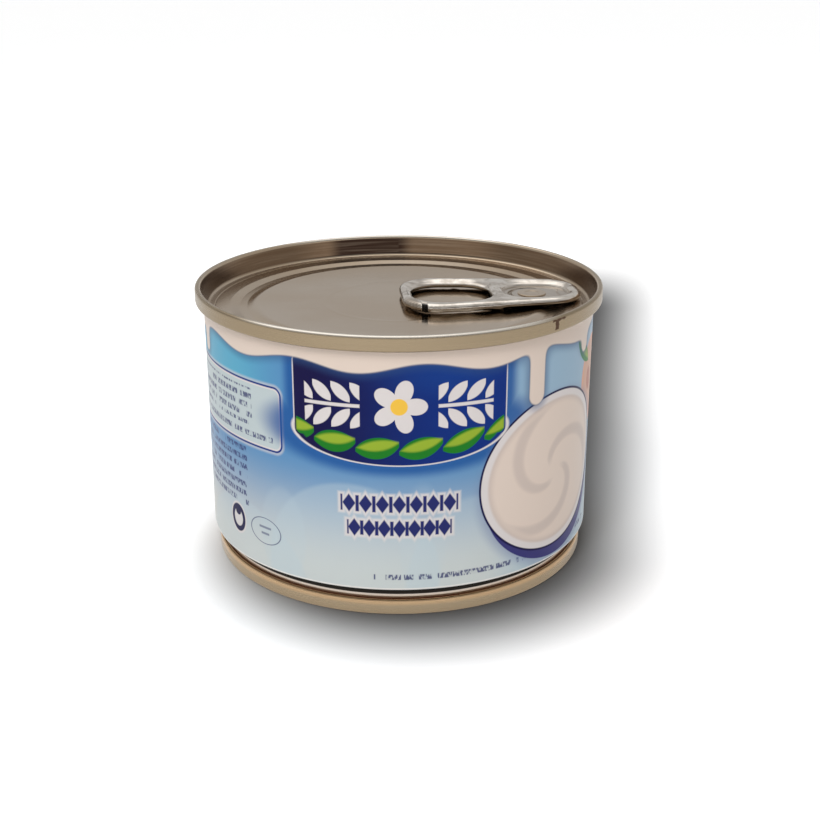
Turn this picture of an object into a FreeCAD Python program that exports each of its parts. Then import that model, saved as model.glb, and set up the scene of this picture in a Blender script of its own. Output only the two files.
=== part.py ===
import FreeCAD, Part
import math
import os

import Sketcher

# A shut tinplate can of table cream with a ring-pull lid, in millimetres.
# The origin is the centre of the circle that the can stands on, and +Z runs up its axis.
#
#   can_body    the printed wall, necked in at the foot, solid with what it holds
#   top_end     the lid: double seam, chuck wall, stepped panel, score line and rivet
#   bottom_end  the base: a smaller double seam round a panel with expansion beads
#   pull_tab    the ring-pull: curled rim, finger hole, sunk nose web and its rivet tongue

os.makedirs("parts", exist_ok=True)
doc = FreeCAD.newDocument("cream_can")

# ---------------------------------------------------------------- driving sizes

SIZES = [
    # the whole can
    ("can_height", 51.8, "foot of the bottom seam to the crest of the top seam"),
    ("body_radius", 36.6, "printed wall"),
    ("sheet", 0.2, "thickness of the wall where it runs into a seam"),
    # the top seam and the wall below it
    ("seam_radius", 38.1, "outside of the top double seam"),
    ("seam_length", 2.75, "crest to foot of the top seam"),
    ("seam_width", 1.3, "crest, from its outside to the chuck wall"),
    ("crest_round", 0.58, "roundness of the top seam's crest"),
    ("foot_round", 0.38, "roundness of both seams where they meet the wall"),
    ("wall_flare", 0.15, "how far the wall opens just below the top seam"),
    ("flare_drop", 1.5, "height of that flare"),
    ("wall_tuck", 0.35, "how far the wall runs up inside a seam"),
    # the lid
    ("panel_depth", 4.35, "crest down to the lid's centre panel"),
    ("panel_gauge", 0.45, "lid panel, with the sealing layer under it"),
    ("chuck_foot", 36.0, "radius of the chuck wall where it meets the lid"),
    ("step_rise", 0.45, "height of the pressed ring above the panel"),
    ("land_rise", 0.4, "height of the scored land above the panel"),
    ("step_run", 0.7, "length of every pressed slope on the lid"),
    ("step_radius", 27.6, "start of the pressed ring"),
    ("ring_width", 4.1, "pressed ring, foot to foot"),
    ("channel_width", 1.5, "flat of the channel outside the pressed ring"),
    ("step_round", 0.3, "roundness of the pressed slopes"),
    ("score_radius", 34.7, "tear line"),
    ("score_width", 0.3, "tear line"),
    ("score_depth", 0.14, "tear line"),
    ("outer_bead", 22.0, "radius of the faint outer bead"),
    ("inner_bead", 13.0, "radius of the faint inner bead"),
    ("bead_width", 1.4, "faint beads"),
    ("bead_rise", 0.1, "faint beads"),
    # the rivet pressed out of the lid
    ("boss_radius", 2.1, "raised seat under the tab"),
    ("boss_rise", 0.5, "height of that seat"),
    ("stem_radius", 1.5, "rivet through the tab"),
    ("head_radius", 2.7, "flattened rivet head"),
    ("head_rise", 0.4, "flattened rivet head"),
    ("rivet_round", 0.26, "edges of the seat and the head"),
    # the necked foot and the bottom seam
    ("neck_radius", 34.9, "wall between the shoulder and the bottom seam"),
    ("neck_top", 4.75, "height where the shoulder starts to open"),
    ("shoulder_top", 5.35, "height where the shoulder reaches the wall"),
    ("shoulder_round", 0.4, "edge of the shoulder"),
    ("neck_round", 0.6, "hollow of the neck"),
    ("base_seam_radius", 35.75, "outside of the bottom double seam"),
    ("base_seam_length", 2.85, "foot to top of the bottom seam"),
    ("base_seam_width", 1.4, "foot, from its outside to the chuck wall"),
    ("standing_round", 0.5, "roundness of the edge that the can stands on"),
    ("base_panel", 3.0, "height of the base panel above the foot"),
    ("base_sink", 0.7, "how much deeper the groove round the panel is"),
    ("base_top", 4.3, "top of the base, under the contents"),
    ("base_chuck", 33.6, "radius of the base's chuck wall at the groove"),
    ("base_groove", 29.0, "inner edge of the groove"),
    ("base_bead_rise", 0.45, "expansion beads, pressed inwards"),
    ("base_bead_width", 5.0, "expansion beads, foot to foot"),
    ("base_bead_in", 8.0, "inner expansion bead, inner foot"),
    ("base_bead_out", 18.5, "outer expansion bead, inner foot"),
    # the ring-pull
    ("tab_heel_x", 0.4, "heel of the ring, near the lid's centre"),
    ("tab_heel_y", -0.65, "heel of the ring, near the lid's centre"),
    ("tab_turn", 4.8, "degrees that the tab is turned on its rivet"),
    ("tab_length", 34.1, "heel to nose"),
    ("heel_half", 11.3, "half the ring's width at the heel, before its corners"),
    ("nose_half", 7.0, "half the nose's width at the tip, before its corners"),
    ("heel_corner", 6.7, "round corner of the ring"),
    ("nose_corner", 6.7, "round corner of the nose"),
    ("tab_gap", 0.15, "panel to the underside of the ring"),
    ("tab_height", 1.8, "curled rim"),
    ("curl_round", 1.05, "outside of the curled rim"),
    ("curl_tuck", 0.5, "lower edge of the curled rim"),
    ("hole_start", 2.1, "finger hole, from the heel"),
    ("hole_end", 17.0, "finger hole, from the heel"),
    ("hole_start_half", 8.2, "half the finger hole's width at the heel"),
    ("hole_end_half", 6.9, "half the finger hole's width at the bar"),
    ("hole_corner", 5.8, "round corner of the finger hole"),
    ("hole_round", 0.9, "rolled edge of the finger hole"),
    ("web_start", 19.6, "sunk nose web, from the heel"),
    ("web_end", 31.9, "sunk nose web, from the heel"),
    ("web_start_half", 6.2, "half the web's width at the bar"),
    ("web_end_half", 4.9, "half the web's width at the nose"),
    ("web_corner", 4.6, "round corner of the web"),
    ("web_gauge", 0.45, "thickness of the web"),
    ("web_round", 0.6, "rolled edge round the web"),
    ("rivet_along", 25.0, "rivet, from the heel"),
    ("tongue_radius", 4.2, "middle of the slit round the rivet tongue"),
    ("slit_width", 0.6, "slit round the rivet tongue"),
    ("slit_half_angle", 112.0, "degrees that the slit runs to each side of the heel"),
    ("notch_along", 4.2, "gap in the curl, from the heel"),
    ("notch_width", 0.9, "gap in the curl"),
    ("notch_half", 9.4, "inner end of the gap, from the tab's middle line"),
    ("overcut", 1.0, "how far a cutting outline reaches past the tab"),
    # the side seam, where the rolled sheet's edges overlap and are welded
    ("weld_turn", 7.0, "degrees from the +X axis, away from the front"),
    ("weld_width", 0.9, "overlap"),
    ("weld_rise", 0.1, "how far the overlap stands out of the wall"),
]

sizes = doc.addObject("Spreadsheet::Sheet", "sizes")
for row, (alias, value, meaning) in enumerate(SIZES, start=1):
    sizes.set(f"A{row}", alias)
    sizes.set(f"B{row}", str(value))
    sizes.setAlias(f"B{row}", alias)
    sizes.set(f"C{row}", meaning)
doc.recompute()

# Lengths closer than this are taken as equal when edges are looked up by their place.
NEAR = 1e-3

# Heights and places that several pieces share, in terms of the sheet.
PANEL = "(sizes.can_height - sizes.panel_depth)"
PANEL_UNDER = f"({PANEL} - sizes.panel_gauge)"
LAND = f"({PANEL} + sizes.land_rise)"
SEAM_FOOT = "(sizes.can_height - sizes.seam_length)"
WALL_TOP = f"({SEAM_FOOT} + sizes.wall_tuck)"
FLARE_FOOT = f"({SEAM_FOOT} - sizes.flare_drop)"
FLARE_RADIUS = "(sizes.body_radius + sizes.wall_flare)"
WALL_FOOT = "(sizes.base_seam_length - sizes.wall_tuck)"
TAB_UNDER = f"({PANEL} + sizes.tab_gap)"
WEB_UNDER = "(sizes.boss_rise - sizes.tab_gap)"
RIVET_X = "(sizes.tab_heel_x + sizes.rivet_along * cos(sizes.tab_turn * 1 deg))"
RIVET_Y = "(sizes.tab_heel_y + sizes.rivet_along * sin(sizes.tab_turn * 1 deg))"


def number(expression):
    """The present value of an expression on the sheet."""
    found = sizes.evalExpression(expression)
    return float(getattr(found, "Value", found))


# ---------------------------------------------------------------- building blocks


def new_body(label):
    body = doc.addObject("PartDesign::Body", label)
    body.Label = label
    return body


def new_sketch(body, name, role, lift="0"):
    """An empty sketch on one of the body's own planes, lifted along its normal."""
    sketch = body.newObject("Sketcher::SketchObject", name)
    plane = next(each for each in body.Origin.OriginFeatures if each.Role == role)
    sketch.AttachmentSupport = [(plane, "")]
    sketch.MapMode = "FlatFace"
    sketch.setExpression("AttachmentOffset.Base.z", lift)
    return sketch


def tie(sketch, edge, point, across, along):
    """Hold one point of an edge at two expressions, measured from the sketch's origin."""
    for kind, axis, expression in (("DistanceX", -2, across), ("DistanceY", -1, along)):
        value = number(expression)
        if abs(value) < NEAR:
            sketch.addConstraint(Sketcher.Constraint("PointOnObject", edge, point, axis))
            continue
        place = sketch.addConstraint(Sketcher.Constraint(kind, -1, 1, edge, point, value))
        sketch.setExpression(f"Constraints[{place}]", expression)


def draw_outline(sketch, corners):
    """A closed outline of straight runs. Every corner is held by two expressions."""
    spots = [FreeCAD.Vector(number(across), number(along), 0) for across, along in corners]
    first = sketch.GeometryCount
    count = len(corners)
    for start in range(count):
        end = (start + 1) % count
        sketch.addGeometry(Part.LineSegment(spots[start], spots[end]), False)
    for start in range(count):
        end = (start + 1) % count
        sketch.addConstraint(Sketcher.Constraint("Coincident", first + start, 2, first + end, 1))
    for start, (across, along) in enumerate(corners):
        tie(sketch, first + start, 1, across, along)


def draw_circle(sketch, across, along, radius):
    middle = FreeCAD.Vector(number(across), number(along), 0)
    circle = sketch.addGeometry(Part.Circle(middle, FreeCAD.Vector(0, 0, 1), number(radius)), False)
    tie(sketch, circle, 3, across, along)
    size = sketch.addConstraint(Sketcher.Constraint("Radius", circle, number(radius)))
    sketch.setExpression(f"Constraints[{size}]", radius)


def turn_round(body, name, corners, kind="PartDesign::Revolution"):
    """Turn a section about the can's axis, to add metal or, as a Groove, to cut it."""
    sketch = new_sketch(body, name + "_section", "XZ_Plane")
    draw_outline(sketch, corners)
    feature = body.newObject(kind, name)
    feature.Profile = sketch
    feature.ReferenceAxis = (sketch, ["V_Axis"])
    feature.Angle = 360
    doc.recompute()
    return feature


def pad(body, name, sketch, height):
    feature = body.newObject("PartDesign::Pad", name)
    feature.Profile = sketch
    feature.setExpression("Length", height)
    doc.recompute()
    return feature


def pocket(body, name, sketch, depth, upwards=False):
    """Cut from the sketch into the solid, and make sure that metal really went."""
    before = body.Shape.Volume
    feature = body.newObject("PartDesign::Pocket", name)
    feature.Profile = sketch
    feature.Reversed = upwards
    feature.setExpression("Length", depth)
    doc.recompute()
    if feature.Shape.Volume > before - NEAR:
        raise RuntimeError(name + " cut nothing")
    return feature


def round_off(body, name, edges, radius):
    """Round the named edges of the body as it stands."""
    base = body.Tip
    feature = body.newObject("PartDesign::Fillet", name)
    feature.Base = (base, edges)
    feature.setExpression("Radius", radius)
    doc.recompute()
    return feature


def circles(body, places, across="0", along="0"):
    """Names of the level circles of the given radii and heights about an upright axis, which
    is the can's own unless another is named."""
    wanted = [(number(radius), number(height)) for radius, height in places]
    axis = (number(across), number(along))
    found = []
    for index, edge in enumerate(body.Shape.Edges, start=1):
        if not isinstance(edge.Curve, Part.Circle):
            continue
        middle = edge.Curve.Center
        if math.dist((middle.x, middle.y), axis) > NEAR:
            continue
        spot = (edge.Curve.Radius, middle.z)
        if any(math.dist(spot, place) < NEAR for place in wanted):
            found.append(f"Edge{index}")
    if len(found) != len(wanted):
        raise RuntimeError(f"{body.Label}: {len(found)} of {len(wanted)} circles found")
    return found


def upright_edges(body, places):
    """Names of the straight edges along Z that stand at the given points of the plan."""
    wanted = [(number(across), number(along)) for across, along in places]
    found = []
    for index, edge in enumerate(body.Shape.Edges, start=1):
        ends = [vertex.Point for vertex in edge.Vertexes]
        if len(ends) != 2 or math.dist(ends[0][:2], ends[1][:2]) > NEAR:
            continue
        if any(math.dist(ends[0][:2], place) < NEAR for place in wanted):
            found.append(f"Edge{index}")
    return found


def level_loop(body, height, start, end):
    """Names of the level edges at one height that lie between two places along X."""
    level = number(height)
    low = number(start) - NEAR
    high = number(end) + NEAR
    found = []
    for index, edge in enumerate(body.Shape.Edges, start=1):
        box = edge.BoundBox
        flat = abs(box.ZMin - level) < NEAR and abs(box.ZMax - level) < NEAR
        if flat and box.XMin > low and box.XMax < high:
            found.append(f"Edge{index}")
    return found


def outer_loop(body, height, inner_spans):
    """Names of the tab's level edges at one height that bound none of its inner cuts."""
    inner = [name for span in inner_spans for name in level_loop(body, height, *span)]
    whole = level_loop(body, height, "0", "sizes.tab_length")
    return [name for name in whole if name not in inner]


# ---------------------------------------------------------------- can_body


def make_can_body():
    """The printed wall with its contents. It flares into the top seam, and below the
    print it turns in over a sharp shoulder to the neck that carries the bottom seam."""
    body = new_body("can_body")
    inner_flare = f"{FLARE_RADIUS} - sizes.sheet"
    inner_wall = "sizes.body_radius - sizes.sheet"
    inner_neck = "sizes.neck_radius - sizes.sheet"
    turn_round(body, "wall_and_contents", [
        ("0", "sizes.base_top"),
        (inner_neck, "sizes.base_top"),
        (inner_neck, WALL_FOOT),
        ("sizes.neck_radius", WALL_FOOT),
        ("sizes.neck_radius", "sizes.neck_top"),
        ("sizes.body_radius", "sizes.shoulder_top"),
        ("sizes.body_radius", FLARE_FOOT),
        (FLARE_RADIUS, SEAM_FOOT),
        (FLARE_RADIUS, WALL_TOP),
        (inner_flare, WALL_TOP),
        (inner_flare, SEAM_FOOT),
        (inner_wall, FLARE_FOOT),
        (inner_wall, PANEL_UNDER),
        ("0", PANEL_UNDER),
    ])
    round_off(body, "shoulder_edge",
              circles(body, [("sizes.body_radius", "sizes.shoulder_top")]),
              "sizes.shoulder_round")
    round_off(body, "neck_hollow",
              circles(body, [("sizes.neck_radius", "sizes.neck_top")]),
              "sizes.neck_round")

    # The overlap of the welded side seam stands up the wall, into the flare.
    sketch = new_sketch(body, "side_weld_plan", "XY_Plane", "sizes.shoulder_top")
    sketch.setExpression("AttachmentOffset.Rotation.Angle", "sizes.weld_turn * 1 deg")
    draw_outline(sketch, [
        (inner_wall, "-sizes.weld_width / 2"),
        ("sizes.body_radius + sizes.weld_rise", "-sizes.weld_width / 2"),
        ("sizes.body_radius + sizes.weld_rise", "sizes.weld_width / 2"),
        (inner_wall, "sizes.weld_width / 2"),
    ])
    pad(body, "side_weld", sketch, f"{FLARE_FOOT} - sizes.shoulder_top")
    return body


# ---------------------------------------------------------------- top_end


def make_top_end():
    """The lid. Its section runs from the centre panel over the pressed ring, the channel
    and the scored land, up the chuck wall, over the seam's crest and down its outside."""
    body = new_body("top_end")
    ring_top = f"({PANEL} + sizes.step_rise)"
    ring_end = "(sizes.step_radius + sizes.ring_width)"
    channel_end = f"({ring_end} + sizes.channel_width)"
    land_start = f"({channel_end} + sizes.step_run)"
    crest_inner = "(sizes.seam_radius - sizes.seam_width)"
    inner_flare = f"{FLARE_RADIUS} - sizes.sheet"
    inner_wall = "sizes.body_radius - sizes.sheet"
    turn_round(body, "pressed_sheet", [
        ("0", PANEL),
        ("sizes.step_radius", PANEL),
        ("sizes.step_radius + sizes.step_run", ring_top),
        (f"{ring_end} - sizes.step_run", ring_top),
        (ring_end, PANEL),
        (channel_end, PANEL),
        (land_start, LAND),
        ("sizes.chuck_foot", LAND),
        (crest_inner, "sizes.can_height"),
        ("sizes.seam_radius", "sizes.can_height"),
        ("sizes.seam_radius", SEAM_FOOT),
        (FLARE_RADIUS, SEAM_FOOT),
        (FLARE_RADIUS, WALL_TOP),
        (inner_flare, WALL_TOP),
        (inner_flare, SEAM_FOOT),
        (inner_wall, FLARE_FOOT),
        (inner_wall, PANEL_UNDER),
        ("0", PANEL_UNDER),
    ])
    round_off(body, "crest",
              circles(body, [(crest_inner, "sizes.can_height"),
                             ("sizes.seam_radius", "sizes.can_height")]),
              "sizes.crest_round")
    round_off(body, "seam_foot",
              circles(body, [("sizes.seam_radius", SEAM_FOOT)]),
              "sizes.foot_round")
    round_off(body, "pressed_slopes",
              circles(body, [("sizes.step_radius", PANEL),
                             ("sizes.step_radius + sizes.step_run", ring_top),
                             (f"{ring_end} - sizes.step_run", ring_top),
                             (ring_end, PANEL),
                             (channel_end, PANEL),
                             (land_start, LAND),
                             ("sizes.chuck_foot", LAND)]),
              "sizes.step_round")
    half_score = "sizes.score_width / 2"
    turn_round(body, "score_line", [
        (f"sizes.score_radius - {half_score}", LAND),
        ("sizes.score_radius", f"{LAND} - sizes.score_depth"),
        (f"sizes.score_radius + {half_score}", LAND),
    ], "PartDesign::Groove")
    for name, radius in (("outer_bead", "sizes.outer_bead"), ("inner_bead", "sizes.inner_bead")):
        turn_round(body, name + "_ring", [
            (f"{radius} - sizes.bead_width / 2", PANEL),
            (f"{radius} - sizes.bead_width / 6", f"{PANEL} + sizes.bead_rise"),
            (f"{radius} + sizes.bead_width / 6", f"{PANEL} + sizes.bead_rise"),
            (f"{radius} + sizes.bead_width / 2", PANEL),
        ])
    add_rivet(body)
    return body


def add_rivet(body):
    """The rivet is drawn up out of the lid itself: a raised seat, a stem and a flat head."""
    seat_top = f"({PANEL} + sizes.boss_rise)"
    head_foot = f"({seat_top} + sizes.web_gauge)"
    for name, radius, foot, rise in (
        ("seat", "sizes.boss_radius", PANEL, "sizes.boss_rise"),
        ("stem", "sizes.stem_radius", seat_top, "sizes.web_gauge"),
        ("head", "sizes.head_radius", head_foot, "sizes.head_rise"),
    ):
        sketch = new_sketch(body, "rivet_" + name + "_plan", "XY_Plane", foot)
        draw_circle(sketch, RIVET_X, RIVET_Y, radius)
        pad(body, "rivet_" + name, sketch, rise)
        if name == "stem":
            continue
        rim = circles(body, [(radius, f"{foot} + {rise}")], RIVET_X, RIVET_Y)
        round_off(body, "rivet_" + name + "_edge", rim, "sizes.rivet_round")


# ---------------------------------------------------------------- bottom_end


def make_bottom_end():
    """The base, seen from below: the seam that the can stands on, a groove inside its
    chuck wall, and a panel with two expansion beads."""
    body = new_body("bottom_end")
    foot_inner = "(sizes.base_seam_radius - sizes.base_seam_width)"
    inner_neck = "sizes.neck_radius - sizes.sheet"
    groove_top = "(sizes.base_panel + sizes.base_sink)"
    bead_top = "(sizes.base_panel + sizes.base_bead_rise)"
    panel_run = [("0", "sizes.base_panel")]
    for start in ("sizes.base_bead_in", "sizes.base_bead_out"):
        panel_run += [
            (start, "sizes.base_panel"),
            (f"{start} + sizes.step_run", bead_top),
            (f"{start} + sizes.base_bead_width - sizes.step_run", bead_top),
            (f"{start} + sizes.base_bead_width", "sizes.base_panel"),
        ]
    turn_round(body, "pressed_sheet", panel_run + [
        ("sizes.base_groove", "sizes.base_panel"),
        ("sizes.base_groove + sizes.step_run", groove_top),
        ("sizes.base_chuck", groove_top),
        (foot_inner, "0"),
        ("sizes.base_seam_radius", "0"),
        ("sizes.base_seam_radius", "sizes.base_seam_length"),
        ("sizes.neck_radius", "sizes.base_seam_length"),
        ("sizes.neck_radius", WALL_FOOT),
        (inner_neck, WALL_FOOT),
        (inner_neck, "sizes.base_top"),
        ("0", "sizes.base_top"),
    ])
    round_off(body, "standing_edge",
              circles(body, [(foot_inner, "0"), ("sizes.base_seam_radius", "0")]),
              "sizes.standing_round")
    round_off(body, "seam_foot",
              circles(body, [("sizes.base_seam_radius", "sizes.base_seam_length")]),
              "sizes.foot_round")
    slopes = panel_run[1:] + [("sizes.base_groove", "sizes.base_panel"),
                              ("sizes.base_groove + sizes.step_run", groove_top),
                              ("sizes.base_chuck", groove_top)]
    round_off(body, "pressed_slopes", circles(body, slopes), "sizes.step_round")
    return body


# ---------------------------------------------------------------- pull_tab


def taper_block(start, end, start_half, end_half):
    """Corners of a block of the tab's plan, symmetrical about the tab's own length."""
    return [(start, f"-{start_half}"), (end, f"-{end_half}"), (end, end_half), (start, start_half)]


def make_pull_tab():
    """The ring-pull, in its own frame: X from heel to nose, Z up from the ring's underside."""
    body = new_body("pull_tab")

    plan = taper_block("0", "sizes.tab_length", "sizes.heel_half", "sizes.nose_half")
    sketch = new_sketch(body, "blank_plan", "XY_Plane")
    draw_outline(sketch, plan)
    pad(body, "blank", sketch, "sizes.tab_height")
    round_off(body, "heel_corners", upright_edges(body, [plan[0], plan[3]]), "sizes.heel_corner")
    round_off(body, "nose_corners", upright_edges(body, [plan[1], plan[2]]), "sizes.nose_corner")

    hole = taper_block("sizes.hole_start", "sizes.hole_end",
                       "sizes.hole_start_half", "sizes.hole_end_half")
    sketch = new_sketch(body, "finger_hole_plan", "XY_Plane", "sizes.tab_height")
    draw_outline(sketch, hole)
    pocket(body, "finger_hole", sketch, "sizes.tab_height")
    round_off(body, "finger_hole_corners", upright_edges(body, hole), "sizes.hole_corner")

    # The strip is curled under all round, and the underside is higher under the nose, to
    # clear the lid's pressed ring and land.
    hole_span = ("sizes.hole_start", "sizes.hole_end")
    round_off(body, "outer_tuck", outer_loop(body, "0", [hole_span]), "sizes.curl_tuck")
    relief = taper_block("(sizes.hole_end + sizes.web_start) / 2", "sizes.tab_length + sizes.overcut",
                         "sizes.heel_half", "sizes.heel_half")
    sketch = new_sketch(body, "nose_relief_plan", "XY_Plane")
    draw_outline(sketch, relief)
    pocket(body, "nose_relief", sketch, WEB_UNDER, upwards=True)

    web = taper_block("sizes.web_start", "sizes.web_end",
                      "sizes.web_start_half", "sizes.web_end_half")
    sketch = new_sketch(body, "nose_web_plan", "XY_Plane", "sizes.tab_height")
    draw_outline(sketch, web)
    pocket(body, "nose_web", sketch, f"sizes.tab_height - {WEB_UNDER} - sizes.web_gauge")
    round_off(body, "nose_web_corners", upright_edges(body, web), "sizes.web_corner")

    # The strip is rolled over on top, outside, along the finger hole and round the web.
    web_span = ("sizes.web_start", "sizes.web_end")
    top = "sizes.tab_height"
    round_off(body, "outer_curl", outer_loop(body, top, [hole_span, web_span]), "sizes.curl_round")
    round_off(body, "finger_hole_roll", level_loop(body, top, *hole_span), "sizes.hole_round")
    round_off(body, "nose_web_roll", level_loop(body, top, *web_span), "sizes.web_round")

    # The tongue that the rivet clamps hangs on the nose side; a slit frees the rest of it.
    sketch = new_sketch(body, "rivet_hole_plan", "XY_Plane", "sizes.tab_height")
    draw_circle(sketch, "sizes.rivet_along", "0", "sizes.stem_radius")
    pocket(body, "rivet_hole", sketch, "sizes.tab_height")
    sketch = new_sketch(body, "tongue_slit_plan", "XY_Plane", "sizes.tab_height")
    draw_slit(sketch)
    pocket(body, "tongue_slit", sketch, "sizes.tab_height")

    # One side of the curl has a gap where the strip's ends meet.
    gap_start = "sizes.notch_along - sizes.notch_width / 2"
    gap_end = "sizes.notch_along + sizes.notch_width / 2"
    sketch = new_sketch(body, "curl_gap_plan", "XY_Plane", "sizes.tab_height")
    draw_outline(sketch, [
        (gap_start, "-sizes.heel_half - sizes.overcut"),
        (gap_end, "-sizes.heel_half - sizes.overcut"),
        (gap_end, "-sizes.notch_half"),
        (gap_start, "-sizes.notch_half"),
    ])
    pocket(body, "curl_gap", sketch, "sizes.tab_height")

    body.setExpression(".Placement.Base.x", "sizes.tab_heel_x")
    body.setExpression(".Placement.Base.y", "sizes.tab_heel_y")
    body.setExpression(".Placement.Base.z", TAB_UNDER)
    body.setExpression(".Placement.Rotation.Angle", "sizes.tab_turn * 1 deg")
    return body


def draw_slit(sketch):
    """A C-shaped slit: two arcs round the rivet, open towards the nose, closed by short ends."""
    middle = FreeCAD.Vector(number("sizes.rivet_along"), 0, 0)
    half = math.radians(number("sizes.slit_half_angle"))
    circles_at = {}
    for side, sign in (("inner", "-"), ("outer", "+")):
        radius = f"sizes.tongue_radius {sign} sizes.slit_width / 2"
        circle = Part.Circle(middle, FreeCAD.Vector(0, 0, 1), number(radius))
        arc = sketch.addGeometry(Part.ArcOfCircle(circle, math.pi - half, math.pi + half), False)
        tie(sketch, arc, 3, "sizes.rivet_along", "0")
        size = sketch.addConstraint(Sketcher.Constraint("Radius", arc, number(radius)))
        sketch.setExpression(f"Constraints[{size}]", radius)
        circles_at[side] = arc
    inner, outer = circles_at["inner"], circles_at["outer"]
    for point, direction in ((1, -1), (2, 1)):
        start = sketch.getPoint(inner, point)
        end = sketch.getPoint(outer, point)
        cap = sketch.addGeometry(Part.LineSegment(start, end), False)
        sketch.addConstraint(Sketcher.Constraint("Coincident", inner, point, cap, 1))
        sketch.addConstraint(Sketcher.Constraint("Coincident", cap, 2, outer, point))
        turn = math.pi + direction * half
        angle = sketch.addConstraint(Sketcher.Constraint("Angle", cap, turn))
        sign = "+" if direction > 0 else "-"
        sketch.setExpression(f"Constraints[{angle}]", f"180 deg {sign} sizes.slit_half_angle * 1 deg")


# ---------------------------------------------------------------- build, check and write

bodies = [make_can_body(), make_top_end(), make_bottom_end(), make_pull_tab()]
doc.recompute()

for thing in doc.Objects:
    if "Invalid" in thing.State or "Error" in thing.State:
        raise RuntimeError(f"{thing.Label}: {thing.State}")
for body in bodies:
    shape = body.Shape
    if shape.isNull() or not shape.isValid() or len(shape.Solids) != 1:
        raise RuntimeError(body.Label + " is not one sound solid")
    box = shape.optimalBoundingBox()
    print(f"{body.Label:11s} {shape.Volume / 1000:8.3f} cm3  "
          f"x {box.XMin:.2f}..{box.XMax:.2f}  y {box.YMin:.2f}..{box.YMax:.2f}  "
          f"z {box.ZMin:.2f}..{box.ZMax:.2f}")
for body in bodies:
    body.Shape.exportStep(os.path.join("parts", body.Label + ".step"))
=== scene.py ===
# %% [markdown]
# # A can of table cream
#
# The object is a short steel can, 76 mm over its top seam and 52 mm high, with a ring-pull
# lid and a printed wall. An engineering model of it already exists. This lesson loads it as
# a fixed frame and gives it the looks of the real thing: curved sheet metal, a curled pull
# tab, a glossy print, and the light to see them in.

# %% Load the frame
import math

import bmesh
import bpy
import numpy as np
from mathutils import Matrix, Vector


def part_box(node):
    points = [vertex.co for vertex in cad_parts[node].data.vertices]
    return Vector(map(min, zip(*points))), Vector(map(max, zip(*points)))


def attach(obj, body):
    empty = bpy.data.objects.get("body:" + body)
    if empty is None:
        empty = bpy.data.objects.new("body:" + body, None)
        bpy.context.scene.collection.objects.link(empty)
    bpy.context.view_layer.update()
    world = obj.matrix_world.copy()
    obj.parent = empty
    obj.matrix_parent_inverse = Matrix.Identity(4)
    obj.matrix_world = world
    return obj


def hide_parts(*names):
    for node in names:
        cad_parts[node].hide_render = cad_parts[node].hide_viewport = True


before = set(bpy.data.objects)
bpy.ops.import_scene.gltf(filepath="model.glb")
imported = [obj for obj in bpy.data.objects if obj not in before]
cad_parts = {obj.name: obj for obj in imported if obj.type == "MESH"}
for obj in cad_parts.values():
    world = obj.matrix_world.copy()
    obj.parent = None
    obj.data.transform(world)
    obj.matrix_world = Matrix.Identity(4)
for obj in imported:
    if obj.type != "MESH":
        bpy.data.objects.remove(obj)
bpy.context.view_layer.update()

MM = 0.001
print("pieces in the frame:", sorted(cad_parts))

# %% [markdown]
# ## Sizes
#
# The box of each engineering piece gives the outer sizes. Details that no box can tell, such
# as the width of a bead, are named here once. Blender works in metres, but numbers stay in
# millimetres, which suit sheet metal, until a mesh is made.

# %% Outer sizes, read from the frame
wall_low, wall_high = (np.array(corner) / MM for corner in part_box("can_body"))
lid_low, lid_high = (np.array(corner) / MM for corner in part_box("top_end"))
_, base_high = (np.array(corner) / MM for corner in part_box("bottom_end"))
tab_low, tab_high = (np.array(corner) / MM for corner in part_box("pull_tab"))

HEIGHT = lid_high[2]
SEAM_RADIUS = lid_high[0]
FLARE_RADIUS = wall_high[1]
BASE_SEAM_RADIUS = base_high[0]
WALL_RADIUS = FLARE_RADIUS - 0.15
NECK_RADIUS = BASE_SEAM_RADIUS - 0.85
PANEL = HEIGHT - 4.35
LID_UNDER = lid_low[2]
WALL_TOP = wall_high[2]
WALL_FOOT = wall_low[2]
BASE_TOP = base_high[2]
TAB_UNDER = tab_low[2]
TAB_HEIGHT = tab_high[2] - tab_low[2]
print(f"can {2 * SEAM_RADIUS:.1f} mm wide and {HEIGHT:.1f} mm high, panel at {PANEL:.2f} mm")

# %% Sheet-metal details
SHEET = 0.2
OVERLAP = 0.02
SEAM_LENGTH = 2.75
SEAM_WIDTH = 1.0
SEAM_FOOT = HEIGHT - SEAM_LENGTH
CHUCK_FOOT = 36.0
FAINT_BEAD = 14.0
RISE_START = 18.5
STEEPER_RISE = 22.5
GROOVE_START = 27.0
GROOVE_RUN = 1.6
LAND_START = 30.0
LAND_RUN = 1.7
SCORE_RADIUS = 34.5
PANEL_EDGE = PANEL + 0.34
GROOVE = PANEL - 0.1
LAND = PANEL + 0.3
BASE_SLOPE = 0.7
BASE_SEAM_LENGTH = 2.85
BASE_SEAM_WIDTH = 1.4
BASE_PANEL = 3.0
BASE_CHUCK = 33.6
BASE_GROOVE = 29.0
BASE_BEADS = (8.0, 18.5)
SHOULDER = 5.35

# %% [markdown]
# ## Camera
#
# The camera looks down by twenty degrees at the middle of the can. A normal lens from a
# quarter of a metre makes the lid's ellipse and the slight narrowing towards the foot. A
# small shift puts the can a little left of the picture's middle.

# %% Place the camera
CAMERA_DISTANCE = 251.0
CAMERA_PITCH = 19.98
FOCAL_WIDTHS = 1.5669512
SHIFT = (0.0151, -0.0032)
ROLL = 0.19


def add_object(name, data):
    """A new object, put in the scene."""
    thing = bpy.data.objects.new(name, data)
    bpy.context.scene.collection.objects.link(thing)
    return thing


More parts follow.
